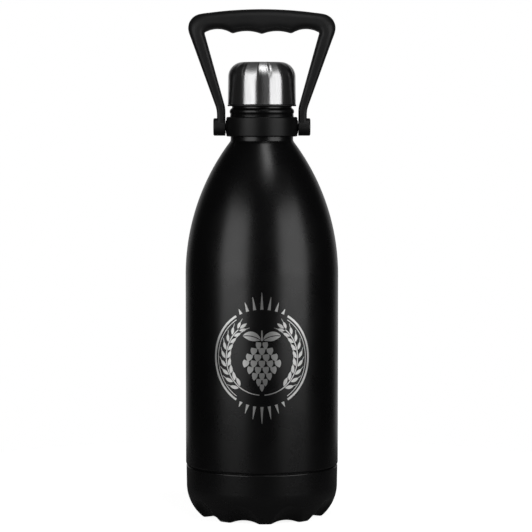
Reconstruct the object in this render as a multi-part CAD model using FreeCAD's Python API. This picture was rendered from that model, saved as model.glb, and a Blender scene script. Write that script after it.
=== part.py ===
import FreeCAD, Part
import math
import os

# A 1.5 litre double-wall steel bottle with a screw cap and a folding carrying handle.
# Millimetres. Z is up, the origin is on the bottle's axis at the plane the feet stand on,
# the front faces -Y and the handle's pivots lie on X.

# Driving dimensions of the bottle
BODY_R = 53.4
SHEET = 0.6  # wall of the outer shell and of the outer bottom
LINER_SHEET = 0.5
VACUUM_GAP = 4.1
LINER_R = BODY_R - SHEET - VACUUM_GAP - LINER_SHEET  # the bore
SEAM_Z = 36.0  # middle of the groove between the shell and the base cup
SEAM_GAP = 0.8
SHOULDER_VERTEX_Z = 220.2  # where the cylinder's line meets the line down from the neck
SHOULDER_R = 155.0
NECK_R = 21.8
NECK_FOOT_Z = 262.7
NECK_FOOT_R = 3.0
NECK_TOP_R = 22.0  # the neck just above the collar
BEAD_Z = 283.0
BEAD_R = 22.5
BEAD_ROUND = 2.6
SPOUT_R = 20.8  # the outer shell's top tube, inside the cap
RIM_Z = 288.4
SPOUT_BORE_R = 18.6
LINER_FOOT_R = 6.0  # where the liner's shoulder meets its neck

# Skirt and bottoms
SKIRT_R = 51.9
SKIRT_END_Z = 22.0
OUTER_FLOOR_Z = 20.0
INNER_FLOOR_Z = 26.2
LINER_END_Z = 36.0
BOTTOM_FLANGE = 7.0
DIMPLE_HEIGHT = 1.6
DIMPLE_R = (3.5, 6.0)  # its top and its foot
EVACUATION_R = 1.0
SEAL_R = 2.8
SEAL_HEIGHT = 1.1
INNER_CORNER_R = 8.0
GETTER_X = 22.0
GETTER_R = 4.0
GETTER_HEIGHT = 3.0
CLIP_SHEET = 0.3
CLIP_WIDTH = 5.0
CLIP_FOOT = 4.0
CLIP_PLAY = 0.3
PELLET_GAP = 0.2

# Base cup
CUP_SHEET = 0.8
CUP_TOP_R = 53.1
CUP_FOOT_R = 52.9
CUP_STRAIGHT_Z = 32.0
CUP_CORNER_R = 27.0
CUP_CORNER_VERTEX_Z = 8.46  # where the wall's line meets the line up from the feet
FOOT_OUTER_R = 42.3
FOOT_INNER_R = 33.0
FOOT_EDGE_R = 1.4
UNDERSIDE_Z = 4.6
RECESS_RUN = 4.0  # how far the recess wall leans in, from the feet to the underside
LOBES = 9
LOBE_TURN_DEG = 3.0  # the front lobe's middle, from the front towards +X
FLUTE_R = 26.0
FLUTE_TOP = (51.9, 14.4)  # radius and height where a flute's deepest line meets the wall
FLUTE_END = (40.5, 2.5)
CHANNEL_R = 25.5
CHANNEL_DEPTH = 2.0
CHANNEL_START_R = 25.0

# Two-start thread between the plug and the neck
LEAD = 8.0
STARTS = 2
THREAD_ROOT = 1.6
THREAD_CREST = 0.9
NECK_THREAD_R = 17.4
NECK_THREAD_Z = (277.2, 286.2)
PLUG_R = 16.9
PLUG_THREAD_R = 18.25
PLUG_THREAD_Z = (275.4, 285.6)
PLUG_END_Z = 274.0

# Cap
CAP_TOP_Z = 317.4
CAP_LIP_Z = 286.7
CAP_LIP_R = 23.9
CAP_LIP_HEIGHT = 1.2
CAP_FOOT_R = 23.7
CAP_WAIST_R = 23.45
CAP_WAIST_Z = 307.0
CAP_DOME_R = 10.4
CAP_SHEET = 0.5
GASKET_HEIGHT = 1.5
GASKET_PLAY = 0.05
PLUG_WALL = 1.6
WEB_Z = RIM_Z + 2 * GASKET_PLAY + GASKET_HEIGHT  # underside of the plug's web
WEB_HEIGHT = 3.0
LINER_WALL = 1.2

# Collar, pins and handle
PIVOT_Z = 272.3
COLLAR_R = 24.8
COLLAR_BORE_R = 22.1
COLLAR_Z = (265.7, 279.3)
BOSS_R = 4.6
BOSS_X = 25.2
PIN_R = 2.5
PIN_BORE_R = 2.56
PIN_INNER_X = 22.5
PIN_HEAD_R = 4.2
PIN_HEAD_X = (32.4, 33.5)
PIN_HEAD_EDGE_R = 0.4
ARM_X = (25.4, 31.3)  # inner and outer faces of an arm at its lug
ARM_FOOT = 2.0  # how far an arm runs below the pivot, inside its lug
ARM_HALF_DEPTH = 5.4
LUG_R = 6.1
LUG_X = 33.8  # outer face of the round lug at the end of an arm
LUG_EDGE_R = 1.0
RECESS_R = 4.4  # the counterbore in a lug that takes a pin's head
RECESS_X = 32.3
ARM_BEND_OUT_Z = 284.1
ARM_BEND_IN_Z = 285.4
ARM_SLOPE_OUT = 0.3615  # sideways travel per unit of height
ARM_SLOPE_IN = 0.278
GRIP_TOP_Z = 354.0
GRIP_CROWN_R = 278.0
GRIP_CROWN_SLOPE = 0.156
GRIP_CORNER_R = 9.8
FINGER_PITCH = 20.5
RIDGE_Z = (336.7, 337.0)  # the middle ridge and its two neighbours
GROOVE_Z = (338.8, 340.2)  # the inner and the outer finger grooves
GRIP_END_Z = 337.6
GRIP_HALF_DEPTH = 9.5
ARM_DEEPENS_Z = 285.5  # where an arm starts to deepen towards the grip, and where it stops
GRIP_DEPTH_Z = 331.6
HANDLE_EDGE_R = 2.2

ORIGIN = FreeCAD.Vector(0, 0, 0)
UP = FreeCAD.Vector(0, 0, 1)


def point(x, z):
    """A point of the XZ plane, where the turned outlines lie as radius and height."""
    return FreeCAD.Vector(x, 0, z)


def side_point(y, z):
    return FreeCAD.Vector(0, y, z)


def rounded_edges(corners, to_point=point, closed=False):
    """Lines through (a, b) or (a, b, radius) corners, with a tangent arc at each that has a radius."""
    count = len(corners)
    places = [to_point(c[0], c[1]) for c in corners]
    ends, arcs = [], []
    for i, corner in enumerate(corners):
        here = places[i]
        if len(corner) < 3:
            ends.append((here, here))
            arcs.append(None)
            continue
        before = (places[i - 1] - here).normalize()
        after = (places[(i + 1) % count] - here).normalize()
        half = before.getAngle(after) / 2
        start = here + before * (corner[2] / math.tan(half))
        end = here + after * (corner[2] / math.tan(half))
        to_arc = corner[2] / math.sin(half) - corner[2]
        middle = here + (before + after).normalize() * to_arc
        ends.append((start, end))
        arcs.append(Part.Arc(start, middle, end).toShape())
    edges = []
    for i in range(count):
        if arcs[i]:
            edges.append(arcs[i])
        leave, arrive = ends[i][1], ends[(i + 1) % count][0]
        last = i == count - 1
        if (closed or not last) and leave.distanceToPoint(arrive) > 1e-4:
            edges.append(Part.makeLine(leave, arrive))
    return edges


def turned(corners):
    """A solid turned about Z, from a closed outline of (radius, height, corner radius)."""
    outline = Part.Wire(rounded_edges(corners, closed=True))
    return Part.Face(outline).revolve(ORIGIN, UP, 360)


def sheet_turned(outline, thickness):
    """Sheet metal turned about Z, from the wire of its outer side. Thickness is towards the axis."""
    sheet = outline.makeOffset2D(thickness, join=2, fill=True, openResult=True)
    return sheet.revolve(ORIGIN, UP, 360)


def cylinder_x(radius, x0, x1, z):
    """A cylinder along X between two places, in either order."""
    low, high = min(x0, x1), max(x0, x1)
    return Part.makeCylinder(radius, high - low, point(low, z), FreeCAD.Vector(1, 0, 0))


def thread_ridges(root_r, crest_r, heights, first_turn):
    """The ridges of every start of the thread, as right-hand helical sweeps."""
    inward = crest_r < root_r
    buried = root_r + 0.25 if inward else root_r - 0.25
    low, high = heights
    ridges = []
    for start in range(STARTS):
        helix = Part.makeLongHelix(LEAD, high - low, root_r, 0, False)
        section = Part.makePolygon([
            point(buried, -THREAD_ROOT / 2),
            point(crest_r, -THREAD_CREST / 2),
            point(crest_r, THREAD_CREST / 2),
            point(buried, THREAD_ROOT / 2),
            point(buried, -THREAD_ROOT / 2),
        ])
        ridge = Part.Wire(helix.Edges).makePipeShell([section], True, True)
        ridge.translate(FreeCAD.Vector(0, 0, low))
        turn = 360.0 * (first_turn + start / STARTS)
        ridge.rotate(ORIGIN, UP, turn)
        ridges.append(ridge)
    return ridges


def outer_shell():
    """The drawn outer bottle: skirt, step at the seam, cylinder, shoulder, neck, bead and top tube."""
    seam_top = SEAM_Z + SEAM_GAP / 2
    collar_top = COLLAR_Z[1]
    bead_centre_r = BEAD_R - BEAD_ROUND
    bead_foot = point(NECK_TOP_R, BEAD_Z - math.sqrt(BEAD_ROUND ** 2 - (NECK_TOP_R - bead_centre_r) ** 2))
    bead_head = point(SPOUT_R, BEAD_Z + math.sqrt(BEAD_ROUND ** 2 - (SPOUT_R - bead_centre_r) ** 2))
    lower = rounded_edges([
        (SKIRT_R, SKIRT_END_Z),
        (SKIRT_R, seam_top, 0.3),
        (BODY_R, seam_top, 1.0),
        (BODY_R, SHOULDER_VERTEX_Z, SHOULDER_R),
        (NECK_R, NECK_FOOT_Z, NECK_FOOT_R),
        (NECK_R, collar_top, 0.5),
        (NECK_TOP_R, collar_top + 1.0, 0.5),
        (NECK_TOP_R, bead_foot.z),
    ])
    bead = Part.Arc(bead_foot, point(BEAD_R, BEAD_Z), bead_head).toShape()
    top_tube = Part.makeLine(bead_head, point(SPOUT_R, RIM_Z - LINER_SHEET))
    return sheet_turned(Part.Wire(lower + [bead, top_tube]), SHEET)


def outer_bottom():
    """The disc welded into the skirt, with a raised dimple round the evacuation hole."""
    flange_r = SKIRT_R - SHEET
    outline = rounded_edges([
        (EVACUATION_R, OUTER_FLOOR_Z + DIMPLE_HEIGHT),
        (DIMPLE_R[0], OUTER_FLOOR_Z + DIMPLE_HEIGHT, 0.8),
        (DIMPLE_R[1], OUTER_FLOOR_Z, 0.8),
        (flange_r, OUTER_FLOOR_Z, 3.0),
        (flange_r, OUTER_FLOOR_Z + BOTTOM_FLANGE),
    ])
    return sheet_turned(Part.Wire(outline), SHEET)


def evacuation_seal():
    """The bead that fills the evacuation hole and covers it from below."""
    under = OUTER_FLOOR_Z + DIMPLE_HEIGHT
    return turned([
        (0, under + SHEET),
        (EVACUATION_R, under + SHEET),
        (EVACUATION_R, under),
        (SEAL_R, under),
        (SEAL_R, under - SEAL_HEIGHT, 0.9),
        (0, under - SEAL_HEIGHT),
    ])


def inner_liner():
    """The inner bottle: bore, shoulder, neck, rolled rim and the neck's internal thread."""
    inset = BODY_R - LINER_R
    slope = (BODY_R - NECK_R) / (NECK_FOOT_Z - SHOULDER_VERTEX_Z)
    vertex_z = SHOULDER_VERTEX_Z - inset * math.tan(math.atan(slope) / 2)
    foot_z = vertex_z + (LINER_R - SPOUT_BORE_R) / slope
    outline = rounded_edges([
        (LINER_R, LINER_END_Z),
        (LINER_R, vertex_z, SHOULDER_R - inset),
        (SPOUT_BORE_R, foot_z, LINER_FOOT_R),
        (SPOUT_BORE_R, RIM_Z, 0.5),
        (SPOUT_R, RIM_Z),
    ])
    bottle = sheet_turned(Part.Wire(outline), -LINER_SHEET)
    return bottle.fuse(thread_ridges(SPOUT_BORE_R, NECK_THREAD_R, NECK_THREAD_Z, 0.0))


def inner_bottom():
    """The dished bottom, butt-welded to the liner."""
    outline = rounded_edges([
        (0, INNER_FLOOR_Z),
        (LINER_R + LINER_SHEET, INNER_FLOOR_Z, INNER_CORNER_R),
        (LINER_R + LINER_SHEET, LINER_END_Z),
    ])
    return sheet_turned(Part.Wire(outline), LINER_SHEET)


def getter_pellet():
    """The getter, a small disc in the vacuum space under the inner bottom."""
    centre = FreeCAD.Vector(GETTER_X, 0, INNER_FLOOR_Z - PELLET_GAP - GETTER_HEIGHT)
    return Part.makeCylinder(GETTER_R, GETTER_HEIGHT, centre)


def getter_clip():
    """A bent strap, its two feet spot-welded to the inner bottom."""
    half = GETTER_R + CLIP_PLAY
    low = INNER_FLOOR_Z - PELLET_GAP - GETTER_HEIGHT
    inside = rounded_edges([
        (GETTER_X - half - CLIP_FOOT, INNER_FLOOR_Z),
        (GETTER_X - half, INNER_FLOOR_Z, 0.4),
        (GETTER_X - half, low, 0.2),
        (GETTER_X + half, low, 0.2),
        (GETTER_X + half, INNER_FLOOR_Z, 0.4),
        (GETTER_X + half + CLIP_FOOT, INNER_FLOOR_Z),
    ])
    strap = Part.Wire(inside).makeOffset2D(-CLIP_SHEET, join=2, fill=True, openResult=True)
    strap.translate(FreeCAD.Vector(0, -CLIP_WIDTH / 2, 0))
    return strap.extrude(FreeCAD.Vector(0, CLIP_WIDTH, 0))


def lobed_body(inset):
    """The cup's outer form, moved inwards by the inset: a turned body less its flutes and channels."""
    above = SEAM_Z + 2.0 * inset
    foot_edge = FOOT_EDGE_R - inset
    body = turned([
        (0, above),
        (CUP_TOP_R - inset, above),
        (CUP_TOP_R - inset, CUP_STRAIGHT_Z),
        (CUP_FOOT_R - inset, CUP_CORNER_VERTEX_Z + 0.35 * inset, CUP_CORNER_R - inset),
        (FOOT_OUTER_R - 0.35 * inset, inset, foot_edge),
        (FOOT_INNER_R + inset, inset, foot_edge),
        (FOOT_INNER_R - RECESS_RUN + inset, UNDERSIDE_Z + inset, 4.0),
        (0, UNDERSIDE_Z + inset),
    ])
    rise = FreeCAD.Vector(FLUTE_TOP[0] - FLUTE_END[0], 0, FLUTE_TOP[1] - FLUTE_END[1]).normalize()
    outward = FreeCAD.Vector(rise.z, 0, -rise.x)
    flute_foot = point(*FLUTE_END) + outward * FLUTE_R - rise * 30.0
    channel_foot = point(CHANNEL_START_R, CHANNEL_DEPTH - CHANNEL_R)
    cutters = []
    for i in range(LOBES):
        flute = Part.makeCylinder(FLUTE_R + inset, 60.0, flute_foot, rise)
        channel = Part.makeCylinder(CHANNEL_R + inset, 40.0, channel_foot, FreeCAD.Vector(1, 0, 0))
        for cutter in (flute, channel):
            # a flute lies half a pitch beside each lobe, and the front is -Y
            cutter.rotate(ORIGIN, UP, -90.0 + LOBE_TURN_DEG + 360.0 * (i + 0.5) / LOBES)
            cutters.append(cutter)
    return body.cut(cutters)


def base_cup():
    """The stamped cup: the lobed form less the same form one sheet further in."""
    form = lobed_body(0.0).cut(lobed_body(CUP_SHEET))
    groove = Part.makeCylinder(BODY_R + 5.0, 10.0, point(0, SEAM_Z - SEAM_GAP / 2))
    return form.cut(groove)


def collar():
    """The ring that turns on the neck, with a boss and a pin hole at each side."""
    ring = turned([
        (COLLAR_BORE_R, COLLAR_Z[0], 0.4),
        (COLLAR_R, COLLAR_Z[0], 1.0),
        (COLLAR_R, COLLAR_Z[1], 1.0),
        (COLLAR_BORE_R, COLLAR_Z[1], 0.4),
    ])
    bosses = [cylinder_x(BOSS_R, side * COLLAR_BORE_R, side * BOSS_X, PIVOT_Z) for side in (-1, 1)]
    bore = Part.makeCylinder(COLLAR_BORE_R, 30.0, point(0, COLLAR_Z[0] - 5.0))
    pin_holes = [cylinder_x(PIN_R, side * 15.0, side * 30.0, PIVOT_Z) for side in (-1, 1)]
    return ring.fuse(bosses).cut([bore] + pin_holes)


def pivot_pin(side):
    """A headed pin, pressed into the collar from the side."""
    shank = cylinder_x(PIN_R, side * PIN_INNER_X, side * PIN_HEAD_X[0], PIVOT_Z)
    head = rounded_disc_x(PIN_HEAD_R, side * PIN_HEAD_X[0], side * PIN_HEAD_X[1], PIN_HEAD_EDGE_R)
    return shank.fuse(head).removeSplitter()


def rounded_disc_x(radius, inner_x, outer_x, edge_r):
    """A disc on the pivots' axis, with the edge of its outer face rounded."""
    disc = cylinder_x(radius, inner_x, outer_x, PIVOT_Z)
    rim = [edge for edge in disc.Edges if edge.Length > radius and is_at_x(edge.BoundBox, outer_x)]
    return disc.makeFillet(edge_r, rim)


def is_at_x(box, x):
    return abs(box.XMin - x) < 1e-3 and abs(box.XMax - x) < 1e-3


def handle():
    """The bail: round lugs, flared arms, and a crowned grip with finger grooves under it."""
    crown_vertex_z = GRIP_TOP_Z + GRIP_CROWN_R * (math.hypot(1, GRIP_CROWN_SLOPE) - 1)
    corner_x = ARM_X[1] + ARM_SLOPE_OUT * (crown_vertex_z - ARM_BEND_OUT_Z)
    corner_x /= 1 + ARM_SLOPE_OUT * GRIP_CROWN_SLOPE
    corner_z = crown_vertex_z - GRIP_CROWN_SLOPE * corner_x
    grip_end_x = ARM_X[0] + ARM_SLOPE_IN * (GRIP_END_Z - ARM_BEND_IN_Z)
    foot_z = PIVOT_Z - ARM_FOOT
    outside = rounded_edges([
        (-ARM_X[1], foot_z),
        (-ARM_X[1], ARM_BEND_OUT_Z, 20.0),
        (-corner_x, corner_z, GRIP_CORNER_R),
        (0, crown_vertex_z, GRIP_CROWN_R),
        (corner_x, corner_z, GRIP_CORNER_R),
        (ARM_X[1], ARM_BEND_OUT_Z, 20.0),
        (ARM_X[1], foot_z),
    ])
    inner_arms = [
        rounded_edges([
            (side * ARM_X[1], foot_z),
            (side * ARM_X[0], foot_z),
            (side * ARM_X[0], ARM_BEND_IN_Z, 16.0),
            (side * grip_end_x, GRIP_END_Z),
        ])
        for side in (-1, 1)
    ]
    ridges = [(0.0, RIDGE_Z[0]), (FINGER_PITCH, RIDGE_Z[1]), (grip_end_x, GRIP_END_Z)]
    grooves = []
    for side in (-1, 1):
        for (x0, z0), (x1, z1), top in zip(ridges, ridges[1:], GROOVE_Z):
            ends = point(side * x0, z0), point(side * x1, z1)
            middle = point(side * (x0 + x1) / 2, top)
            grooves.append(Part.Arc(ends[0], middle, ends[1]).toShape())
    outline = Part.Wire(Part.__sortEdges__(outside + inner_arms[0] + inner_arms[1] + grooves))
    front = Part.Face(outline)
    front.translate(FreeCAD.Vector(0, -20.0, 0))
    frame = front.extrude(FreeCAD.Vector(0, 40.0, 0))
    above_grip_z = GRIP_TOP_Z + 10.0
    side_view = Part.Wire(rounded_edges([
        (-ARM_HALF_DEPTH, foot_z),
        (ARM_HALF_DEPTH, foot_z),
        (ARM_HALF_DEPTH, ARM_DEEPENS_Z, 30.0),
        (GRIP_HALF_DEPTH, GRIP_DEPTH_Z, 40.0),
        (GRIP_HALF_DEPTH, above_grip_z),
        (-GRIP_HALF_DEPTH, above_grip_z),
        (-GRIP_HALF_DEPTH, GRIP_DEPTH_Z, 40.0),
        (-ARM_HALF_DEPTH, ARM_DEEPENS_Z, 30.0),
    ], to_point=side_point, closed=True))
    depth = Part.Face(side_view)
    depth.translate(FreeCAD.Vector(-80.0, 0, 0))
    bail = frame.common(depth.extrude(FreeCAD.Vector(160.0, 0, 0))).Solids[0]
    long_edges = [edge for edge in bail.Edges if is_long_edge(edge.BoundBox)]
    bail = bail.makeFillet(HANDLE_EDGE_R, long_edges)
    lugs = [rounded_disc_x(LUG_R, side * ARM_X[0], side * LUG_X, LUG_EDGE_R) for side in (-1, 1)]
    recesses = [cylinder_x(RECESS_R, side * RECESS_X, side * (LUG_X + 1.0), PIVOT_Z) for side in (-1, 1)]
    bores = cylinder_x(PIN_BORE_R, -LUG_X, LUG_X, PIVOT_Z)
    return bail.fuse(lugs).cut([bores] + recesses)


def is_long_edge(box):
    """True for the handle's edges above its eyes, except those that cross it from front to back."""
    crosses = box.YLength > 5.0 and box.XLength < 1.0
    return box.ZMax > PIVOT_Z + LUG_R + 1.0 and not crosses


def cap_liner():
    """The cap's plastic body: the black lip, the skirt round the rim, and the wall inside the dome."""
    bore_r = SPOUT_R + 0.6
    step_r = bore_r - 0.5
    side_r = CAP_WAIST_R - CAP_SHEET - 0.1
    inside_z = CAP_TOP_Z - CAP_SHEET - 0.1 - LINER_WALL
    dome_r = CAP_DOME_R - CAP_SHEET
    return turned([
        (bore_r, CAP_LIP_Z, 0.3),
        (CAP_LIP_R, CAP_LIP_Z, 0.4),
        (CAP_LIP_R, CAP_LIP_Z + CAP_LIP_HEIGHT, 0.3),
        (side_r, CAP_LIP_Z + CAP_LIP_HEIGHT),
        (side_r, inside_z + LINER_WALL, dome_r),
        (0, inside_z + LINER_WALL),
        (0, inside_z),
        (step_r, inside_z, dome_r - LINER_WALL),
        (step_r, WEB_Z + WEB_HEIGHT),
        (bore_r, WEB_Z + WEB_HEIGHT),
    ])


def cap_plug():
    """The hollow plug, with its thread and the web that presses the gasket."""
    web_r = SPOUT_R + 0.55
    bore_r = PLUG_R - PLUG_WALL
    body = turned([
        (0, PLUG_END_Z),
        (PLUG_R, PLUG_END_Z, 1.0),
        (PLUG_R, WEB_Z),
        (web_r, WEB_Z, 0.3),
        (web_r, WEB_Z + WEB_HEIGHT),
        (bore_r, WEB_Z + WEB_HEIGHT),
        (bore_r, PLUG_END_Z + PLUG_WALL, 1.0),
        (0, PLUG_END_Z + PLUG_WALL),
    ])
    # each ridge runs midway between two ridges of the neck
    between_starts = 0.5 / STARTS
    first_turn = (PLUG_THREAD_Z[0] - NECK_THREAD_Z[0]) / LEAD + between_starts
    return body.fuse(thread_ridges(PLUG_R, PLUG_THREAD_R, PLUG_THREAD_Z, first_turn))


def cap_shell():
    """The polished steel dome, pressed over the plastic body."""
    outline = rounded_edges([
        (CAP_FOOT_R, CAP_LIP_Z + CAP_LIP_HEIGHT + 0.05),
        (CAP_WAIST_R, CAP_WAIST_Z, 30.0),
        (CAP_WAIST_R, CAP_TOP_Z, CAP_DOME_R),
        (0, CAP_TOP_Z),
    ])
    return sheet_turned(Part.Wire(outline), CAP_SHEET)


def cap_foam():
    """The insulating foam that fills the plug."""
    plug_r = PLUG_R - PLUG_WALL - 0.1
    low = PLUG_END_Z + PLUG_WALL + 0.1
    return turned([
        (0, low),
        (plug_r, low, 1.0),
        (plug_r, WEB_Z + WEB_HEIGHT),
        (0, WEB_Z + WEB_HEIGHT),
    ])


def cap_gasket():
    """The silicone ring that the cap presses on the rim."""
    low = RIM_Z + GASKET_PLAY
    return turned([
        (PLUG_R + 0.3, low, 0.3),
        (SPOUT_R, low, 0.3),
        (SPOUT_R, low + GASKET_HEIGHT, 0.3),
        (PLUG_R + 0.3, low + GASKET_HEIGHT, 0.3),
    ])


SUB_PARTS = {
    "outer_shell": outer_shell,
    "outer_bottom": outer_bottom,
    "evacuation_seal": evacuation_seal,
    "inner_liner": inner_liner,
    "inner_bottom": inner_bottom,
    "getter_pellet": getter_pellet,
    "getter_clip": getter_clip,
    "base_cup": base_cup,
    "collar": collar,
    "pivot_pin_left": lambda: pivot_pin(-1),
    "pivot_pin_right": lambda: pivot_pin(1),
    "handle": handle,
    "cap_shell": cap_shell,
    "cap_liner": cap_liner,
    "cap_plug": cap_plug,
    "cap_foam": cap_foam,
    "cap_gasket": cap_gasket,
}

os.makedirs("parts", exist_ok=True)
for name, make in SUB_PARTS.items():
    shape = make()
    if len(shape.Solids) != 1 or not shape.isValid():
        raise RuntimeError(f"{name} is not one sound solid: {len(shape.Solids)} solids")
    shape.Solids[0].exportStep(f"parts/{name}.step")
    print(f"{name}: {shape.Volume / 1000:.2f} cm3")
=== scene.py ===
import math

import bmesh
import bpy
import numpy as np
from mathutils import Matrix, Vector

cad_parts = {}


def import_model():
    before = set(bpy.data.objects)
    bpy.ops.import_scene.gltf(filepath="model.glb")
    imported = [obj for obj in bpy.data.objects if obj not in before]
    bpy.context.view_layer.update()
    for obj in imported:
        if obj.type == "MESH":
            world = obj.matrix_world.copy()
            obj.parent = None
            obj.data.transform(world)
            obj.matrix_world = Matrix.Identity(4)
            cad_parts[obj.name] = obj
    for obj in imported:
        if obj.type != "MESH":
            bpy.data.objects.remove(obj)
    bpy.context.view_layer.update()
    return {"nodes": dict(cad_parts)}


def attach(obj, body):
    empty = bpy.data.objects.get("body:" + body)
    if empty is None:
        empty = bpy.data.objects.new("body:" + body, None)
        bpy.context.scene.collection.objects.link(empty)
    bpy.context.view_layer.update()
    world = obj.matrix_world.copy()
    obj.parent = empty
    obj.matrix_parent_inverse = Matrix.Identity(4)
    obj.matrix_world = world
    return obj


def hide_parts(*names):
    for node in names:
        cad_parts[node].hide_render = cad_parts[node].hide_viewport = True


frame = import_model()

# A double-wall steel bottle with a screw cap and a folding carrying handle.
# Outlines are in millimetres, as (radius, height) from the bottle's axis and foot plane, like the CAD's.
MM = 0.001

BODY_R = 53.4
SKIRT_R = 51.9
SEAM_TOP_Z = 36.4
NECK_R = 21.8
SPOUT_R = 20.8
BEAD_Z = 283.0
COLLAR_Z = (265.7, 279.3)
COLLAR_R = 24.8
COLLAR_BORE_R = 22.1
PIVOT_Z = 272.3
CAP_LIP_Z = 286.7
CAP_TOP_Z = 317.4


# ---------------------------------------------------------------- mesh tools


def rounded(corners, closed=False, step_deg=4.0):
    """Points along lines through (a, b) or (a, b, radius) corners, with a tangent arc at each radius."""
    count = len(corners)
    places = [np.array(c[:2], float) for c in corners]
    points = []
    for i, corner in enumerate(corners):
        here = places[i]
        if len(corner) < 3:
            points.append(here)
            continue
        before = places[i - 1] - here
        after = places[(i + 1) % count] - here
        before /= np.linalg.norm(before)
        after /= np.linalg.norm(after)
        half = math.acos(float(np.clip(before @ after, -1, 1))) / 2
        start = here + before * corner[2] / math.tan(half)
        middle = before + after
        centre = here + middle / np.linalg.norm(middle) * corner[2] / math.sin(half)
        sweep = math.pi - 2 * half
        first = start - centre
        turn = math.copysign(1.0, before[1] * after[0] - before[0] * after[1])
        steps = max(2, math.ceil(math.degrees(sweep) / step_deg))
        for k in range(steps + 1):
            angle = turn * sweep * k / steps
            cos, sin = math.cos(angle), math.sin(angle)
            points.append(centre + (first[0] * cos - first[1] * sin, first[0] * sin + first[1] * cos))
    if closed:
        points.append(points[0])
    return np.array(points)


def arc(centre, radius, start_deg, end_deg, steps):
    """Points along an arc about a centre."""
    angles = np.radians(np.linspace(start_deg, end_deg, steps + 1))
    return np.column_stack([centre[0] + radius * np.cos(angles), centre[1] + radius * np.sin(angles)])


def mesh_object(name, vertices, faces, sharp_deg=40.0):
    """A smooth-shaded mesh object, from vertices in millimetres."""
    mesh = bpy.data.meshes.new(name)
    mesh.from_pydata([tuple(v) for v in np.asarray(vertices) * MM], [], faces)
    clean = bmesh.new()
    clean.from_mesh(mesh)
    bmesh.ops.remove_doubles(clean, verts=clean.verts, dist=1e-7)
    bmesh.ops.recalc_face_normals(clean, faces=clean.faces)
    clean.to_mesh(mesh)
    clean.free()
    mesh.shade_smooth()
    mesh.set_sharp_from_angle(angle=math.radians(sharp_deg))
    obj = bpy.data.objects.new(name, mesh)
    bpy.context.scene.collection.objects.link(obj)
    return obj


def grid_faces(rows, columns, wrap_columns):
    """Quads between neighbouring points of a rows x columns grid."""
    faces = []
    for i in range(rows - 1):
        for j in range(columns if wrap_columns else columns - 1):
            k = (j + 1) % columns
            faces.append((i * columns + j, i * columns + k, (i + 1) * columns + k, (i + 1) * columns + j))
    return faces


def lathe(name, outline, segments=192, sharp_deg=40.0, axis="Z"):
    """An outline of (radius, height) turned about Z, or about X with height as x."""
    outline = np.asarray(outline, float)
    angles = np.linspace(0, 2 * math.pi, segments, endpoint=False)
    radius, height = outline[:, :1], outline[:, 1:]
    flat = np.zeros_like(angles)
    points = np.stack([radius * np.cos(angles), radius * np.sin(angles), height + flat], axis=-1)
    if axis == "X":
        points = points[..., [2, 0, 1]]
    vertices = points.reshape(-1, 3)
    faces = grid_faces(len(outline), segments, True)
    return mesh_object(name, vertices, faces, sharp_deg)


def thicken(obj, thickness, offset):
    """Sheet metal of that thickness (mm); offset -1 grows it inwards."""
    solid = obj.modifiers.new("sheet", "SOLIDIFY")
    solid.thickness = thickness * MM
    solid.offset = offset
    return obj


def combine(obj, other, operation):
    """Joins or cuts obj with another mesh, which is then removed."""
    cut = obj.modifiers.new("combine", "BOOLEAN")
    cut.operation = operation
    cut.solver = "EXACT"
    cut.object = other
    bpy.context.view_layer.update()
    evaluated = obj.evaluated_get(bpy.context.evaluated_depsgraph_get())
    result = bpy.data.meshes.new_from_object(evaluated)
    obj.modifiers.clear()
    obj.data = result
    bpy.data.objects.remove(other)
    result.shade_smooth()
    result.set_sharp_from_angle(angle=math.radians(40.0))
    return obj


def smooth_min(a, b, blend):
    """The lesser of two reaches, with a round transition where they are within the blend of each other."""
    near = np.clip(blend - np.abs(a - b), 0, None) / blend
    return np.minimum(a, b) - near * near * blend / 4


def smooth_max(a, b, blend):
    return -smooth_min(-a, -b, blend)


# ---------------------------------------------------------------- materials


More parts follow.
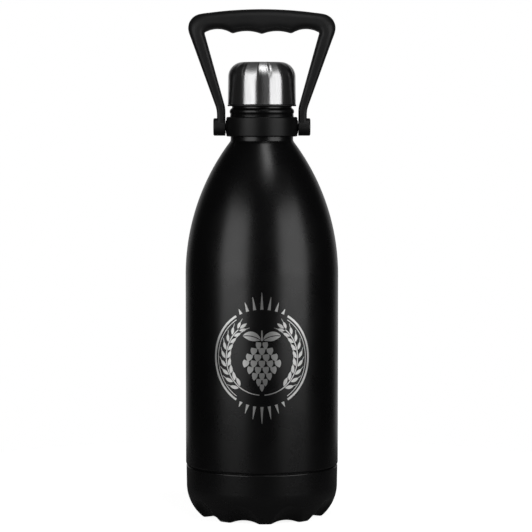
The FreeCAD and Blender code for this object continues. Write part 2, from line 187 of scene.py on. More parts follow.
class Material:
    """A node material under construction, with short calls for the nodes used here."""

    def __init__(self, name, **shader):
        self.material = bpy.data.materials.new(name)
        self.material.use_nodes = True
        self.tree = self.material.node_tree
        self.shader = self.tree.nodes["Principled BSDF"]
        for socket, value in shader.items():
            self.shader.inputs[socket.replace("_", " ")].default_value = value
        self.place = self.node("ShaderNodeTexCoord").outputs["Object"]

    def node(self, kind, **values):
        node = self.tree.nodes.new(kind)
        for key, value in values.items():
            setattr(node, key, value)
        return node

    def link(self, source, target):
        self.tree.links.new(source, target)

    def noise(self, scale, detail=3.0, roughness=0.55, vector=None):
        node = self.node("ShaderNodeTexNoise")
        node.inputs["Scale"].default_value = scale
        node.inputs["Detail"].default_value = detail
        node.inputs["Roughness"].default_value = roughness
        self.link(vector or self.place, node.inputs["Vector"])
        return node.outputs["Fac"]

    def stretched(self, x, y, z):
        """The place on the object, scaled along each axis."""
        node = self.node("ShaderNodeVectorMath", operation="MULTIPLY")
        node.inputs[1].default_value = (x, y, z)
        self.link(self.place, node.inputs[0])
        return node.outputs["Vector"]

    def component(self, axis):
        """The place on the object along one axis."""
        node = self.node("ShaderNodeSeparateXYZ")
        self.link(self.place, node.inputs["Vector"])
        return node.outputs[axis]

    def length(self, vector):
        node = self.node("ShaderNodeVectorMath", operation="LENGTH")
        self.link(vector, node.inputs[0])
        return node.outputs["Value"]

    def product(self, first, second):
        node = self.node("ShaderNodeMath", operation="MULTIPLY")
        self.link(first, node.inputs[0])
        self.link(second, node.inputs[1])
        return node.outputs["Value"]

    def between(self, value, low, high, start=0.3, end=0.7):
        node = self.node("ShaderNodeMapRange")
        for socket, number in zip(("From Min", "From Max", "To Min", "To Max"), (start, end, low, high)):
            node.inputs[socket].default_value = number
        self.link(value, node.inputs["Value"])
        return node.outputs["Result"]

    def colours(self, value, dark, light):
        node = self.node("ShaderNodeMix", data_type="RGBA")
        node.inputs["A"].default_value = (*dark, 1)
        node.inputs["B"].default_value = (*light, 1)
        self.link(value, node.inputs["Factor"])
        return node.outputs["Result"]

    def blur_round_axis(self):
        """Gives an anisotropic material a blur direction that runs round Z."""
        node = self.node("ShaderNodeTangent", direction_type="RADIAL", axis="Z")
        self.link(node.outputs["Tangent"], self.shader.inputs["Tangent"])

    def bump(self, height, strength, depth_mm, after=None):
        node = self.node("ShaderNodeBump")
        node.inputs["Strength"].default_value = strength
        node.inputs["Distance"].default_value = depth_mm * MM
        self.link(height, node.inputs["Height"])
        if after:
            self.link(after, node.inputs["Normal"])
        return node.outputs["Normal"]

    def set(self, **sockets):
        for socket, source in sockets.items():
            self.link(source, self.shader.inputs[socket.replace("_", " ")])
        return self.material


def powder_coat(name):
    """Black satin powder coat: a fine pebbled skin, a trace of speckle, slightly uneven gloss."""
    m = Material(name, Specular_IOR_Level=0.6)
    pebble = m.noise(2600, 2.0)
    peel = m.noise(420, 1.0)
    skin = m.bump(peel, 0.12, 0.05)
    skin = m.bump(pebble, 0.35, 0.02, skin)
    return m.set(
        Base_Color=m.colours(m.between(pebble, 0, 1), (0.0022, 0.0022, 0.0024), (0.0038, 0.0038, 0.0041)),
        Roughness=m.between(m.noise(60, 2.0), 0.26, 0.3),
        Normal=skin,
    )


def moulded_plastic(name, shade, roughness, specular=0.5):
    """Black polypropylene with a fine spark-eroded grain."""
    m = Material(name, Specular_IOR_Level=specular)
    grain = m.noise(3400, 2.0)
    flow = m.noise(35, 2.0)
    light = tuple(c * 1.35 for c in shade)
    return m.set(
        Base_Color=m.colours(m.between(flow, 0, 1), shade, light),
        Roughness=m.between(flow, roughness - 0.04, roughness + 0.04),
        Normal=m.bump(grain, 0.4, 0.02),
    )


def turned_steel(name, colour, roughness, lines=0.25):
    """Stainless steel with fine polishing lines that run round the axis."""
    m = Material(name, Metallic=1.0, Anisotropic=0.35)
    m.blur_round_axis()
    across = m.node("ShaderNodeCombineXYZ")
    m.link(m.length(m.stretched(1, 1, 0)), across.inputs["X"])
    m.link(m.component("Z"), across.inputs["Z"])
    fine = m.noise(5200, 2.0, vector=across.outputs["Vector"])
    coarse = m.noise(900, 2.0, vector=across.outputs["Vector"])
    dark = tuple(c * 0.9 for c in colour)
    return m.set(
        Base_Color=m.colours(m.between(coarse, 0, 1), dark, colour),
        Roughness=m.between(fine, roughness - 0.03, roughness + 0.04),
        Normal=m.bump(fine, lines, 0.004),
    )


def drawn_steel(name, colour, roughness):
    """Polished steel that blurs along the drawing direction, with faint streaks up to its shoulder."""
    m = Material(name, Metallic=1.0, Anisotropic=0.95, Anisotropic_Rotation=0.25)
    m.blur_round_axis()
    level = m.stretched(1, 1, 0)
    round_axis = m.node("ShaderNodeVectorMath", operation="NORMALIZE")
    m.link(level, round_axis.inputs[0])
    streaked = m.node("ShaderNodeVectorMath", operation="ADD")
    m.link(round_axis.outputs["Vector"], streaked.inputs[0])
    m.link(m.stretched(0, 0, 5), streaked.inputs[1])
    wide = m.noise(5, 0.5, vector=streaked.outputs["Vector"])
    fine = m.noise(26, 1.0, vector=streaked.outputs["Vector"])
    off_axis = m.between(m.length(level), 0, 1, 14.5 * MM, 19.5 * MM)
    above_side = m.between(m.component("Z"), 0.05, 1.0, (CAP_TOP_Z - 13.4) * MM, (CAP_TOP_Z - 5.9) * MM)
    on_shoulder = m.product(above_side, off_axis)
    skin = m.bump(m.product(m.between(wide, -0.5, 0.5), on_shoulder), 1.0, 0.4)
    skin = m.bump(m.product(fine, off_axis), 0.2, 0.04, skin)
    dark = tuple(c * 0.93 for c in colour)
    return m.set(
        Base_Color=m.colours(m.product(m.between(fine, 0, 1), off_axis), dark, colour),
        Roughness=m.between(wide, roughness - 0.03, roughness + 0.03),
        Normal=skin,
    )


def etched_steel(name):
    """Bare steel where the coating was burnt away: pale, matt and finely pitted."""
    m = Material(name, Metallic=0.95)
    pits = m.noise(4200, 2.0)
    patch = m.noise(180, 3.0)
    return m.set(
        Base_Color=m.colours(m.between(patch, 0, 1), (0.76, 0.76, 0.75), (0.86, 0.86, 0.85)),
        Roughness=m.between(pits, 0.32, 0.42),
        Normal=m.bump(pits, 0.3, 0.01),
    )


def speckled(name, dark, light, roughness, scale, **shader):
    """A plain matt material with a grain of that scale, for silicone, foam and the getter."""
    m = Material(name, **shader)
    grain = m.noise(scale, 3.0)
    return m.set(
        Base_Color=m.colours(m.between(grain, 0, 1), dark, light),
        Roughness=m.between(grain, roughness - 0.05, roughness + 0.05),
        Normal=m.bump(grain, 0.3, 0.03),
    )


COAT = powder_coat("powder_coat")
CUP_COAT = powder_coat("powder_coat_cup")
HANDLE_PLASTIC = moulded_plastic("handle_plastic", (0.008, 0.008, 0.0083), 0.5)
COLLAR_PLASTIC = moulded_plastic("collar_plastic", (0.0045, 0.0045, 0.0047), 0.42, 0.36)
CAP_PLASTIC = moulded_plastic("cap_plastic", (0.01, 0.01, 0.0105), 0.42)
POLISHED = drawn_steel("polished_steel", (0.82, 0.82, 0.825), 0.31)
LINER_STEEL = turned_steel("liner_steel", (0.62, 0.62, 0.63), 0.3, 0.4)
ETCHED = etched_steel("etched_steel")
SILICONE = speckled("silicone", (0.52, 0.52, 0.5), (0.6, 0.6, 0.58), 0.5, 900)
FOAM = speckled("foam", (0.72, 0.72, 0.7), (0.86, 0.86, 0.84), 0.9, 500)
GETTER = speckled("getter_alloy", (0.08, 0.08, 0.08), (0.16, 0.16, 0.15), 0.7, 1200, Metallic=0.6)
SEAL = speckled("seal_alloy", (0.4, 0.39, 0.37), (0.5, 0.49, 0.46), 0.4, 700, Metallic=1.0)


def dress(obj, material):
    """Gives an object one material in place of any it had."""
    obj.data.materials.clear()
    obj.data.materials.append(material)
    return obj


def place_piece(obj, material, slot, body, *nodes):
    """Gives a new piece its material, lets it ride on a body, and hides the nodes it stands for; the slot is
    not used.
    """
    dress(obj, material)
    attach(obj, body)
    if nodes:
        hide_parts(*nodes)
    return obj


# ---------------------------------------------------------------- the bottle


def outer_shell():
    """Skirt, step at the seam, cylinder, shoulder, neck, bead and top tube, in one drawn sheet."""
    neck_top_r, bead_r, bead_round = 22.0, 22.5, 2.6
    bead_x = bead_r - bead_round
    foot_deg = -math.degrees(math.acos((neck_top_r - bead_x) / bead_round))
    head_deg = math.degrees(math.acos((SPOUT_R - bead_x) / bead_round))
    outline = np.vstack([
        rounded([
            (SKIRT_R, 30.0),
            (SKIRT_R, SEAM_TOP_Z, 0.3),
            (BODY_R, SEAM_TOP_Z, 1.1),
            (BODY_R, 100.0),
            (BODY_R, 220.2, 155.0),
            (NECK_R, 262.7, 3.0),
            (NECK_R, COLLAR_Z[1], 0.5),
            (neck_top_r, COLLAR_Z[1] + 1.0, 0.5),
        ], step_deg=1.0),
        arc((bead_x, BEAD_Z), bead_round, foot_deg, head_deg, 24),
        [(SPOUT_R, 286.0), (SPOUT_R, 287.9)],
    ])
    return thicken(lathe("bottle_shell", outline, 256), 0.55, -1)


CUP_TOP_R = 53.1
CUP_FOOT_R = 52.9
CUP_RIM_Z = 35.6
CUP_SHEET = 0.8
CORNER = (24.2, 22.0)  # centre of the cup's round corner, where the rays that shape it start
CORNER_R = 28.7
LOBES = 9
LOBE_TURN_DEG = 3.0
FLUTE_TOP = (51.9, 14.4)  # the flute's bottom line runs between these two points
FLUTE_END = (40.5, 2.5)
FLUTE_R = 26.0
CHANNEL_R = 25.5
CHANNEL_DEPTH = 2.0
RECESS_R = 33.0
UNDERSIDE_Z = 4.6
SOFT_EDGE = 0.7


def reach_to_cylinder(start, direction, through, along, radius):
    """How far a ray goes before it enters an endless cylinder; very far if it misses."""
    across_start = start - through
    across_start = across_start - (across_start @ along)[..., None] * along
    across = direction - (direction @ along)[..., None] * along
    a = np.maximum((across * across).sum(-1), 1e-12)
    b = (across * across_start).sum(-1)
    c = (across_start * across_start).sum(-1) - radius ** 2
    inside = b * b - a * c
    reach = (-b - np.sqrt(np.clip(inside, 0, None))) / a
    return np.where((inside > 0) & (reach > 0), reach, 1e3)


def cup_reach(tilt, lean):
    """Reach of the corner's rays, by their tilt down from the horizontal and lean from the nearest flute."""
    sin, cos = np.sin(tilt), np.cos(tilt)
    floor = CORNER[1] / np.clip(sin, 1e-6, None)
    ceiling = (CORNER[1] - UNDERSIDE_Z) / np.clip(sin, 1e-6, None)
    # the wall of the central recess leans in by 4 mm from the floor to the underside
    slope = 4.0 / UNDERSIDE_Z
    gap = RECESS_R - slope * CORNER[1] - CORNER[0]
    wall = gap / np.where(np.abs(cos - slope * sin) < 1e-6, 1e-6, cos - slope * sin)
    recess = smooth_max(ceiling, np.where(wall < 0, 1e3, wall), SOFT_EDGE)
    body = smooth_min(smooth_min(np.full_like(floor, CORNER_R), floor, 0.5), recess, 1.0)
    start = np.stack([CORNER[0] * np.cos(lean), CORNER[0] * np.sin(lean), np.full_like(lean, CORNER[1])], -1)
    direction = np.stack([cos * np.cos(lean), cos * np.sin(lean), -sin], -1)
    rise = np.array([FLUTE_TOP[0] - FLUTE_END[0], 0, FLUTE_TOP[1] - FLUTE_END[1]])
    rise /= np.linalg.norm(rise)
    outward = np.array([rise[2], 0, -rise[0]])
    flute_axis = np.array([FLUTE_END[0], 0, FLUTE_END[1]]) + outward * FLUTE_R
    flute = reach_to_cylinder(start, direction, flute_axis, rise, FLUTE_R)
    channel_axis = np.array([0, 0, CHANNEL_DEPTH - CHANNEL_R])
    channel = reach_to_cylinder(start, direction, channel_axis, np.array([1.0, 0, 0]), CHANNEL_R)
    return smooth_min(body, smooth_min(flute, channel, SOFT_EDGE), SOFT_EDGE)


def cup_surface(inset):
    """Rings of the cup's surface from its rim to the middle of the underside, moved in by the inset."""
    per_lobe = 84
    columns = LOBES * per_lobe
    azimuth = 2 * math.pi * np.arange(columns) / columns
    pitch = 2 * math.pi / LOBES
    lean = (azimuth + pitch / 2) % pitch - pitch / 2  # from the nearest flute
    rings = []
    for z in np.linspace(CUP_RIM_Z - 1.0, CORNER[1] + 1.0, 7):
        taper = CUP_FOOT_R + (CUP_TOP_R - CUP_FOOT_R) * (z - CORNER[1]) / 13.0
        rings.append(np.stack([np.full(columns, taper - inset), np.full(columns, z)], -1))
    for tilt in np.radians(np.linspace(0, 90, 181)):
        reach = cup_reach(np.full(columns, tilt), lean) - inset
        rings.append(np.stack([CORNER[0] + reach * math.cos(tilt), CORNER[1] - reach * math.sin(tilt)], -1))
    for r in np.linspace(20.0, 0.0, 6):
        dome = UNDERSIDE_Z + inset + 1.2 * (1 - (r / CORNER[0]) ** 2)
        rings.append(np.stack([np.full(columns, r), np.full(columns, dome)], -1))
    turn = azimuth + math.radians(-90 + LOBE_TURN_DEG) + pitch / 2
    return [np.stack([g[:, 0] * np.cos(turn), g[:, 0] * np.sin(turn), g[:, 1]], -1) for g in rings]


def base_cup():
    """The stamped cup: its outer and inner surfaces, joined by a rounded rim."""
    outer = cup_surface(0.0)
    inner = cup_surface(CUP_SHEET)
    columns = len(outer[0])
    turn = np.arctan2(outer[0][:, 1], outer[0][:, 0])
    rim = [
        np.stack([np.full(columns, r) * np.cos(turn), r * np.sin(turn), np.full(columns, z)], -1)
        for r, z in arc((CUP_TOP_R - CUP_SHEET, CUP_RIM_Z - CUP_SHEET), CUP_SHEET, 90.0, 0.0, 8)
    ]
    rings = np.array(inner[::-1] + rim + outer)
    faces = grid_faces(len(rings), columns, True)
    return mesh_object("bottle_base_cup", rings.reshape(-1, 3), faces, 60.0)


# ---------------------------------------------------------------- collar, pins and handle


PIN_R = 2.5
PIN_HEAD_R = 4.2
BOSS_R = 4.6
LUG_R = 6.1
LUG_X = 33.8
LUG_RECESS = (4.4, 32.3)  # radius and floor of the recess that takes the pin's head


def at_pivot(obj, side):
    """Moves a piece turned about X up to the pivots, and over to the left for side -1."""
    if side < 0:
        obj.data.transform(Matrix.Rotation(math.pi, 4, "Z"))
    obj.data.transform(Matrix.Translation((0, 0, PIVOT_Z * MM)))
    return obj


def collar():
    """The ring round the neck, with a boss at each side that a pin is pressed into."""
    ring = lathe("neck_collar", rounded([
        (COLLAR_BORE_R, COLLAR_Z[0], 0.4),
        (COLLAR_R, COLLAR_Z[0], 1.0),
        (COLLAR_R, COLLAR_Z[1], 1.0),
        (COLLAR_BORE_R, COLLAR_Z[1], 0.4),
    ], closed=True, step_deg=11.0), 256)
    outline = rounded([(0, 23.4), (BOSS_R, 23.4), (BOSS_R, 25.2, 0.3), (0, 25.2)])
    for side in (-1, 1):
        boss = at_pivot(lathe("boss", outline, 64, axis="X"), side)
        ring = combine(ring, boss, "UNION")
    return ring


def pivot_pin(name, side):
    """A pin whose flat head sits in the recess of a lug."""
    outline = rounded([
        (0, 22.5), (PIN_R, 22.5), (PIN_R, 32.4), (PIN_HEAD_R, 32.4), (PIN_HEAD_R, 33.5, 0.4), (0, 33.5),
    ], step_deg=10.0)
    return at_pivot(lathe(name, outline, 96, axis="X"), side)


ARM_IN, ARM_OUT = 25.4, 31.3
CROWN_VERTEX = (0.0, 357.36)
GRIP_CORNER = (54.7, 348.83)
GRIP_END = (39.91, 337.6)
RIDGES = (GRIP_END, (20.5, 337.0), (0.0, 336.7), (-20.5, 337.0))
GROOVES_Z = (340.2, 338.8, 338.8)  # the top of the groove after each ridge
GRIP_HALF_DEPTH = 9.5


def arc_through(start, top_z, end, steps):
    """Points on the circle through two ends and the middle point at that height."""
    start, end = np.array(start), np.array(end)
    middle = np.array([(start[0] + end[0]) / 2, top_z])
    a, b = middle - start, end - start
    cross = 2 * (a[0] * b[1] - a[1] * b[0])
    aa, bb = a @ a, b @ b
    centre = start + np.array([b[1] * aa - a[1] * bb, a[0] * bb - b[0] * aa]) / cross
    angles = [math.atan2(*(p - centre)[::-1]) for p in (start, end)]
    radius = np.linalg.norm(start - centre)
    return arc(centre, radius, math.degrees(angles[0]), math.degrees(angles[1]), steps)


def reach_to_line(start, direction, line):
    """How far a ray goes before it meets a line of points."""
    a, b = line[:-1], line[1:] - line[:-1]
    cross = direction[0] * b[:, 1] - direction[1] * b[:, 0]
    cross = np.where(np.abs(cross) < 1e-12, 1e-12, cross)
    to = a - start
    reach = (to[:, 0] * b[:, 1] - to[:, 1] * b[:, 0]) / cross
    along = (to[:, 0] * direction[1] - to[:, 1] * direction[0]) / cross
    hits = reach[(along >= -1e-9) & (along <= 1 + 1e-9) & (reach > 0)]
    return hits.min()


def handle_outlines():
    """Right half of the bail, from its eye to the middle of the grip: its spine, and its outside and inside."""
    outside = rounded([
        (ARM_OUT, 260.0), (ARM_OUT, 284.1, 20.0), (*GRIP_CORNER, 9.8), (*CROWN_VERTEX, 278.0), (-40.0, 351.1),
    ], step_deg=1.0)
    inside = np.vstack([
        rounded([(ARM_IN, 260.0), (ARM_IN, 285.4, 16.0), (*GRIP_END, 0.8), (38.6, 338.8)], step_deg=2.0)[:-1],
        arc_through(RIDGES[0], GROOVES_Z[0], RIDGES[1], 40)[3:],
        arc_through(RIDGES[1], GROOVES_Z[1], RIDGES[2], 40),
        arc_through(RIDGES[2], GROOVES_Z[2], RIDGES[3], 40),
    ])
    middle_x = (ARM_IN + ARM_OUT) / 2
    spine = rounded([
        (middle_x, PIVOT_Z - 2.0), (middle_x, 284.7, 18.0), (47.2, 344.6, 8.0), (0.0, 346.4),
    ], step_deg=1.0)
    return spine, outside, inside


def resample(line, spacing):
    """Evenly spaced points along a line of points."""
    lengths = np.concatenate([[0], np.cumsum(np.linalg.norm(np.diff(line, axis=0), axis=1))])
    places = np.linspace(0, lengths[-1], math.ceil(lengths[-1] / spacing) + 1)
    return np.column_stack([np.interp(places, lengths, line[:, k]) for k in (0, 1)])


def soften(reaches):
    """Rounds small steps between neighbouring sections of the bail."""
    kernel = np.exp(-0.5 * (np.arange(-4, 5) / 1.6) ** 2)
    padded = np.concatenate([reaches[:4][::-1], reaches, reaches[-5:-1][::-1]])
    return np.convolve(padded, kernel / kernel.sum(), "valid")


def handle():
    """The bail, lofted from rounded sections along its spine, with a bored lug at each end."""
    spine, outside, inside = handle_outlines()
    spine = resample(spine, 0.5)
    tangents = np.gradient(spine, axis=0)
    tangents /= np.linalg.norm(tangents, axis=1)[:, None]
    normals = np.column_stack([tangents[:, 1], -tangents[:, 0]])
    outer = soften(np.array([reach_to_line(p, n, outside) for p, n in zip(spine, normals)]))
    inner = soften(np.array([reach_to_line(p, -n, inside) for p, n in zip(spine, normals)]))
    depth = np.interp(spine[:, 1], [285.5, 331.6], [5.4, GRIP_HALF_DEPTH])
    depth = np.convolve(np.pad(depth, 20, "edge"), np.ones(41) / 41, "valid")
    on_grip = np.clip((spine[:, 1] - 330.0) / 12.0, 0, 1)
    power_in_plane = 3.6 - 1.2 * on_grip
    angles = np.linspace(0, 2 * math.pi, 64, endpoint=False)
    cos, sin = np.cos(angles), np.sin(angles)
    rings = []
    for i, ((x, z), normal) in enumerate(zip(spine, normals)):
        e = 2 / power_in_plane[i]
        out = np.sign(cos) * np.abs(cos) ** e
        reach = np.where(out > 0, outer[i], inner[i]) * out
        side = np.sign(sin) * np.abs(sin) ** e * depth[i]
        rings.append(np.stack([x + normal[0] * reach, side, z + normal[1] * reach], -1))
    left = [ring * (-1, 1, 1) for ring in rings[:-1]]
    rings = np.array(rings + left[::-1])
    faces = grid_faces(len(rings), len(angles), True)
    count = len(angles)
    faces.append(tuple(range(count)))
    faces.append(tuple(range(len(rings) * count - 1, (len(rings) - 1) * count - 1, -1)))
    bail = mesh_object("carry_handle", rings.reshape(-1, 3), faces, 50.0)
    recess_r, recess_x = LUG_RECESS
    lug = rounded([
        (0, ARM_IN), (LUG_R, ARM_IN, 0.3), (LUG_R, LUG_X, 1.0), (recess_r, LUG_X, 0.2),
        (recess_r, recess_x), (0, recess_x),
    ], step_deg=9.0)
    for side in (-1, 1):
        disc = at_pivot(lathe("lug", lug, 96, axis="X"), side)
        bail = combine(bail, disc, "UNION")
    bore_r = PIN_R + 0.06
    bore = lathe("bore", [(0, -60.0), (bore_r, -60.0), (bore_r, 60.0), (0, 60.0)], 64, axis="X")
    return combine(bail, at_pivot(bore, 1), "DIFFERENCE")


# ---------------------------------------------------------------- the cap


def cap_shell():
    """The steel dome, with its edge turned in under the foot."""
    outline = rounded([
        (23.2, 288.6),
        (23.2, 287.95, 0.2),
        (23.7, 287.95, 0.22),
        (23.45, 307.0, 30.0),
        (23.45, CAP_TOP_Z, 10.4),
        (0, CAP_TOP_Z),
    ], step_deg=2.0)
    return thicken(lathe("cap_dome", outline, 256), 0.45, -1)


def cap_liner():
    """The plastic body inside the dome, down to the lip under its edge."""
    outline = rounded([
        (21.4, CAP_LIP_Z, 0.3),
        (23.9, CAP_LIP_Z, 0.4),
        (23.9, CAP_LIP_Z + 1.2, 0.3),
        (22.8, CAP_LIP_Z + 1.2),
        (22.8, 316.8, 9.9),
        (0, 316.8),
        (0, 315.6),
        (20.9, 315.6, 8.7),
        (20.9, 293.0),
        (21.4, 293.0),
    ], closed=True, step_deg=9.0)
    return lathe("cap_inner_body", outline, 192)


# ---------------------------------------------------------------- the engraving

EMBLEM_Z = 116.0
EMBLEM_R = BODY_R + 0.03


def leaf(x, y, length, width, angle_deg, bend_deg=0.0, blunt=0.8, segments=12):
    """A pointed leaf or grain that starts at (x, y): a strip of quads along a bent middle line."""
    left, right = [], []
    px, py = x, y
    for i in range(segments + 1):
        t = i / segments
        angle = math.radians(angle_deg + bend_deg * t)
        half = width / 2 * math.sin(math.pi * t) ** blunt
        nx, ny = -math.sin(angle), math.cos(angle)
        left.append((px + nx * half, py + ny * half))
        right.append((px - nx * half, py - ny * half))
        px += math.cos(angle) * length / segments
        py += math.sin(angle) * length / segments
    return left, right


def ring_strip(radius, width, start_deg, end_deg, x=0.0, y=0.0):
    """Part of a ring, as a strip."""
    steps = max(4, math.ceil(abs(end_deg - start_deg) * radius / 57.3 / 1.2))
    angles = np.radians(np.linspace(start_deg, end_deg, steps + 1))
    edges = []
    for r in (radius + width / 2, radius - width / 2):
        edges.append([(x + r * math.cos(a), y + r * math.sin(a)) for a in angles])
    return edges


def bar(x0, y0, x1, y1, w0, w1):
    """A straight tapered bar, as a strip."""
    length = math.hypot(x1 - x0, y1 - y0)
    steps = max(2, math.ceil(length / 1.2))
    nx, ny = -(y1 - y0) / length, (x1 - x0) / length
    left, right = [], []
    for i in range(steps + 1):
        t = i / steps
        x, y, half = x0 + (x1 - x0) * t, y0 + (y1 - y0) * t, (w0 + (w1 - w0) * t) / 2
        left.append((x + nx * half, y + ny * half))
        right.append((x - nx * half, y - ny * half))
    return left, right


def barley_ear():
    """The right-hand ear: a curved stalk with pairs of grains, each with its awn."""
    radius, start, end, pairs = 25.2, -52.0, 50.0, 9
    strips = [ring_strip(radius, 0.7, start - 34, end)]
    for i in range(pairs):
        turn = start + (end - start) * i / (pairs - 1)
        size = 1.0 - 0.2 * i / pairs
        for side in (-1, 1):
            foot = radius - side * 0.75
            x, y = foot * math.cos(math.radians(turn)), foot * math.sin(math.radians(turn))
            heading, bend = turn + 90 + side * 34, -side * 14
            strips.append(leaf(x, y, 6.4 * size, 2.5 * size, heading, bend))
            middle = math.radians(heading + bend / 2)
            tip_x, tip_y = x + 6.3 * size * math.cos(middle), y + 6.3 * size * math.sin(middle)
            awn = math.radians(heading + bend)
            end_x, end_y = tip_x + 2.6 * math.cos(awn), tip_y + 2.6 * math.sin(awn)
            strips.append(bar(tip_x, tip_y, end_x, end_y, 0.5, 0.25))
    x, y = radius * math.cos(math.radians(end + 3)), radius * math.sin(math.radians(end + 3))
    strips.append(leaf(x, y, 6.0, 2.2, end + 93))
    return strips


def mirrored(strips):
    """The same strips on the other side of the upright middle line."""
    return [([(-x, y) for x, y in left], [(-x, y) for x, y in right]) for left, right in strips]


def veined_leaf():
    """The leaf to the right of the stalk, in two halves with a gap along its vein."""
    left, right = leaf(1.0, 12.4, 12.6, 6.4, 34, -46, 0.7, 16)
    halves = []
    for edge in (left, right):
        inner = []
        for (ax, ay), (bx, by), (ex, ey) in zip(left, right, edge):
            mx, my = (ax + bx) / 2, (ay + by) / 2
            reach = max(math.hypot(ex - mx, ey - my), 1e-6)
            gap = min(0.3, 0.4 * reach) / reach
            inner.append((mx + (ex - mx) * gap, my + (ey - my) * gap))
        halves.append((edge, inner))
    return halves


def cone_scale(x, y, length, width, lean_deg):
    """One scale of the cone: blunt where it tucks under the row above, pointed at its tip."""
    left, right = [], []
    heading = math.radians(-90 + lean_deg)
    along = (math.cos(heading), math.sin(heading))
    for i in range(11):
        t = i / 10
        half = width / 2 * math.sin(math.pi * (0.3 + 0.7 * t)) ** 0.8
        px, py = x + along[0] * length * t, y + along[1] * length * t
        left.append((px + along[1] * half, py - along[0] * half))
        right.append((px - along[1] * half, py + along[0] * half))
    return left, right


def hop_cone():
    """A hop cone: rows of pointed scales with a little space between them, and a stalk."""
    strips = [bar(0, 11.9, 0, 19.0, 1.4, 0.9)]
    rows = ((11.0, 2, 4.4), (7.0, 3, 5.2), (2.7, 4, 5.4), (-1.6, 5, 5.2), (-5.9, 4, 5.0), (-10.1, 3, 4.6),
            (-14.1, 2, 4.1), (-17.8, 1, 3.8))
    for y, count, pitch in rows:
        for i in range(count):
            x = (i - (count - 1) / 2) * pitch
            strips.append(cone_scale(x, y, 5.1, pitch - 0.7, x * 2.0))
    return strips


def emblem_strips():
    """A generic brewer's device: rings, two barley ears, a hop cone, and rays above and below."""
    strips = hop_cone()
    right_half = [ring_strip(33.6, 1.5, -58, 58), ring_strip(31.4, 0.5, -56, 56)]
    right_half += barley_ear() + veined_leaf()
    strips += right_half + mirrored(right_half)
    for sign in (-1, 1):
        for k in range(-3, 4):
            angle = math.radians(90 * sign + 8.5 * k)
            near, far = 33.2, 44.8 - 2.6 * abs(k)
            cos, sin = math.cos(angle), math.sin(angle)
            strips.append(bar(near * cos, near * sin, far * cos, far * sin, 2.2, 0.3))
    return strips


def emblem():
    """The strips laid on the cylinder, each with a line of points down its middle to follow the curve."""
    vertices, faces = [], []
    for left, right in emblem_strips():
        middle = [((ax + bx) / 2, (ay + by) / 2) for (ax, ay), (bx, by) in zip(left, right)]
        first, count = len(vertices), len(left)
        for line in (left, middle, right):
            for u, v in line:
                angle = u / BODY_R
                vertices.append((EMBLEM_R * math.sin(angle), -EMBLEM_R * math.cos(angle), EMBLEM_Z + v))
        for a, b, c, d in grid_faces(3, count, False):
            faces.append((first + a, first + b, first + c, first + d))
    return mesh_object("front_engraving", vertices, faces, 60.0)


# ---------------------------------------------------------------- build the object

place_piece(outer_shell(), COAT, "powder_coat", "bottle", "outer_shell")
place_piece(base_cup(), CUP_COAT, "powder_coat", "bottle", "base_cup")
place_piece(collar(), COLLAR_PLASTIC, "black_plastic", "neck_ring", "collar")
place_piece(pivot_pin("handle_pin_left", -1), HANDLE_PLASTIC, "black_plastic", "neck_ring", "pivot_pin_left")
place_piece(pivot_pin("handle_pin_right", 1), HANDLE_PLASTIC, "black_plastic", "neck_ring", "pivot_pin_right")
place_piece(handle(), HANDLE_PLASTIC, "black_plastic", "bail", "handle")
place_piece(cap_shell(), POLISHED, "polished_steel", "cap", "cap_shell")
place_piece(cap_liner(), CAP_PLASTIC, "cap_plastic", "cap", "cap_liner")
place_piece(emblem(), ETCHED, "raw_steel", "bottle")

CAD_MATERIALS = {
    "inner_liner": LINER_STEEL,
    "inner_bottom": LINER_STEEL,
    "outer_bottom": LINER_STEEL,
    "getter_clip": LINER_STEEL,
    "evacuation_seal": SEAL,
    "getter_pellet": GETTER,
    "cap_plug": CAP_PLASTIC,
    "cap_foam": FOAM,
    "cap_gasket": SILICONE,
}
for node, material in CAD_MATERIALS.items():
    dress(frame["nodes"][node], material)


# ---------------------------------------------------------------- stage, light and camera


def floor():
    """A round pale table top."""
    radius, top_z, steps = 360.0, -0.2, 96
    vertices = [(0, 0, top_z)]
    for i in range(steps):
        angle = 2 * math.pi * i / steps
        vertices.append((radius * math.cos(angle), radius * math.sin(angle), top_z))
    faces = [(0, 1 + i, 1 + (i + 1) % steps) for i in range(steps)]
    table = mesh_object("floor", vertices, faces)
    pale = Material("floor_pale", Roughness=0.9)
    pale.shader.inputs["Emission Color"].default_value = (1, 1, 1, 1)
    path = pale.node("ShaderNodeLightPath")
    lift = pale.node("ShaderNodeMath", operation="MULTIPLY")
    lift.inputs[1].default_value = 0.9
    pale.link(path.outputs["Is Camera Ray"], lift.inputs[0])
    pale.link(lift.outputs["Value"], pale.shader.inputs["Emission Strength"])
    # painted light and shade in what the bottle reflects: to every ray but the camera's, the table's colour is
    # painted pale close by and behind, and dim further out in front
    shade = pale.node("ShaderNodeMath", operation="ADD")
    pale.link(pale.between(pale.length(pale.place), 0.26, 0.07, 0.08, 0.2), shade.inputs[0])
    pale.link(pale.between(pale.component("Y"), 0.0, 0.5, 0.05, 0.3), shade.inputs[1])
    seen = pale.node("ShaderNodeMix", data_type="RGBA")
    pale.link(path.outputs["Is Camera Ray"], seen.inputs["Factor"])
    pale.link(shade.outputs["Value"], seen.inputs["A"])
    seen.inputs["B"].default_value = (0.88, 0.88, 0.88, 1)
    dress(table, pale.set(Base_Color=seen.outputs["Result"]))


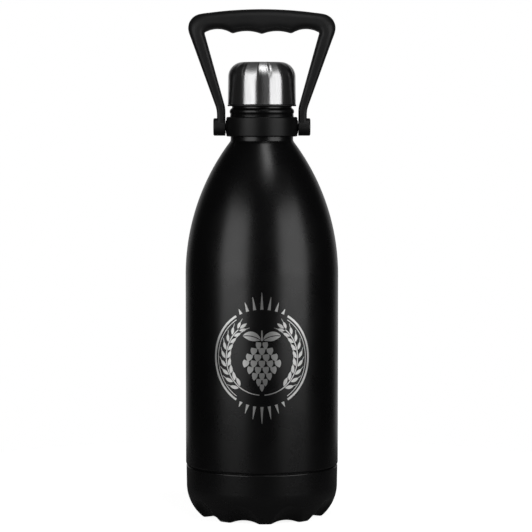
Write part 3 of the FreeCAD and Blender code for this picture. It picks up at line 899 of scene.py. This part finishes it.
def softbox(name, azimuth_deg, distance, height, width, tall, power, tilt_deg=0.0):
    """An area light that faces the bottle; azimuth 0 is the camera's side, positive towards +X."""
    light = bpy.data.lights.new(name, "AREA")
    light.shape = "RECTANGLE"
    light.size, light.size_y = width, tall
    light.energy = power
    azimuth = math.radians(azimuth_deg)
    obj = bpy.data.objects.new(name, light)
    obj.location = (distance * math.sin(azimuth), -distance * math.cos(azimuth), height)
    facing = Vector((0, 0, height - distance * math.tan(math.radians(tilt_deg)))) - obj.location
    obj.rotation_euler = facing.to_track_quat("-Z", "Y").to_euler()
    obj.visible_camera = False
    bpy.context.scene.collection.objects.link(obj)


def world():
    """White to the camera; a dim room in reflections, bright only behind the bottle."""
    scene = bpy.context.scene
    scene.world = bpy.data.worlds.new("studio")
    scene.world.use_nodes = True
    tree = scene.world.node_tree
    nodes, links = tree.nodes, tree.links
    back = nodes["Background"]
    back.inputs["Color"].default_value = (1, 1, 1, 1)
    path = nodes.new("ShaderNodeLightPath")
    coordinates = nodes.new("ShaderNodeTexCoord")
    behind = nodes.new("ShaderNodeVectorMath")
    behind.operation = "DOT_PRODUCT"
    behind.inputs[1].default_value = (0, 1, 0)
    links.new(coordinates.outputs["Generated"], behind.inputs[0])
    glow = nodes.new("ShaderNodeMapRange")
    for socket, number in zip(("From Min", "From Max", "To Min", "To Max"), (0.75, 0.97, 0.012, 0.45)):
        glow.inputs[socket].default_value = number
    links.new(behind.outputs["Value"], glow.inputs["Value"])
    choose = nodes.new("ShaderNodeMix")
    links.new(path.outputs["Is Camera Ray"], choose.inputs["Factor"])
    links.new(glow.outputs["Result"], choose.inputs["A"])
    choose.inputs["B"].default_value = 1.0
    links.new(choose.outputs["Result"], back.inputs["Strength"])


def camera():
    """Level with the cap and a little above the bottle's middle, with a long lens."""
    data = bpy.data.cameras.new("camera")
    data.lens = 155.0
    data.clip_start = 0.05
    obj = bpy.data.objects.new("camera", data)
    obj.location = (0, -1.60, 0.287)
    obj.rotation_euler = (math.radians(90 - 4.0), 0, math.radians(-0.103))
    bpy.context.scene.collection.objects.link(obj)
    bpy.context.scene.camera = obj


floor()
world()
camera()
softbox("left_box", -42, 1.0, 0.42, 0.728, 0.80, 3.1)
softbox("right_box", 48.5, 1.0, 0.42, 0.784, 0.80, 3.3)
softbox("top_box", 21, 0.40, 1.1, 0.24, 0.45, 1.05, 63)
bpy.context.scene.view_settings.view_transform = "Standard"
